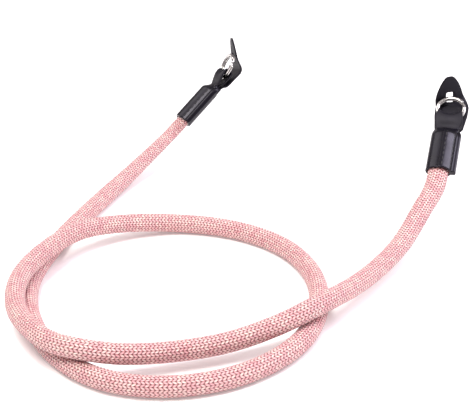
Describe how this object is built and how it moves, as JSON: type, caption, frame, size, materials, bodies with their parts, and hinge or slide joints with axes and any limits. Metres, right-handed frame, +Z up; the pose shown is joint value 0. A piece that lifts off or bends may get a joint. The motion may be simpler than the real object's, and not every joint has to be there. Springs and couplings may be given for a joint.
{
  "type": "camera neck strap",
  "caption": "Braided rope camera neck strap in salmon pink, its ends sewn into black leather sleeves with split rings and leather shields, lying in loops with both ends held up.",
  "frame": {"origin": "top of the right ring, where it hangs on its lug", "axes": "+X from the left hanging point to the right one, +Y away from the viewer, +Z up"},
  "size_m": [0.1748, 0.2557, 0.0607],
  "materials": {
    "rope_yarn": "round braid of salmon pink and cream yarns, matte",
    "black_leather": "smooth semi-gloss black leather with sewn edges",
    "polished_steel": "polished plated steel wire"
  },
  "bodies": {
    "root": {"rope": "rope_yarn", "left_ring": "polished_steel", "left_tab": "black_leather", "left_sleeve": "black_leather", "left_shield": "black_leather", "right_ring": "polished_steel", "right_tab": "black_leather", "right_sleeve": "black_leather", "right_shield": "black_leather"}
  },
  "joints": []
}
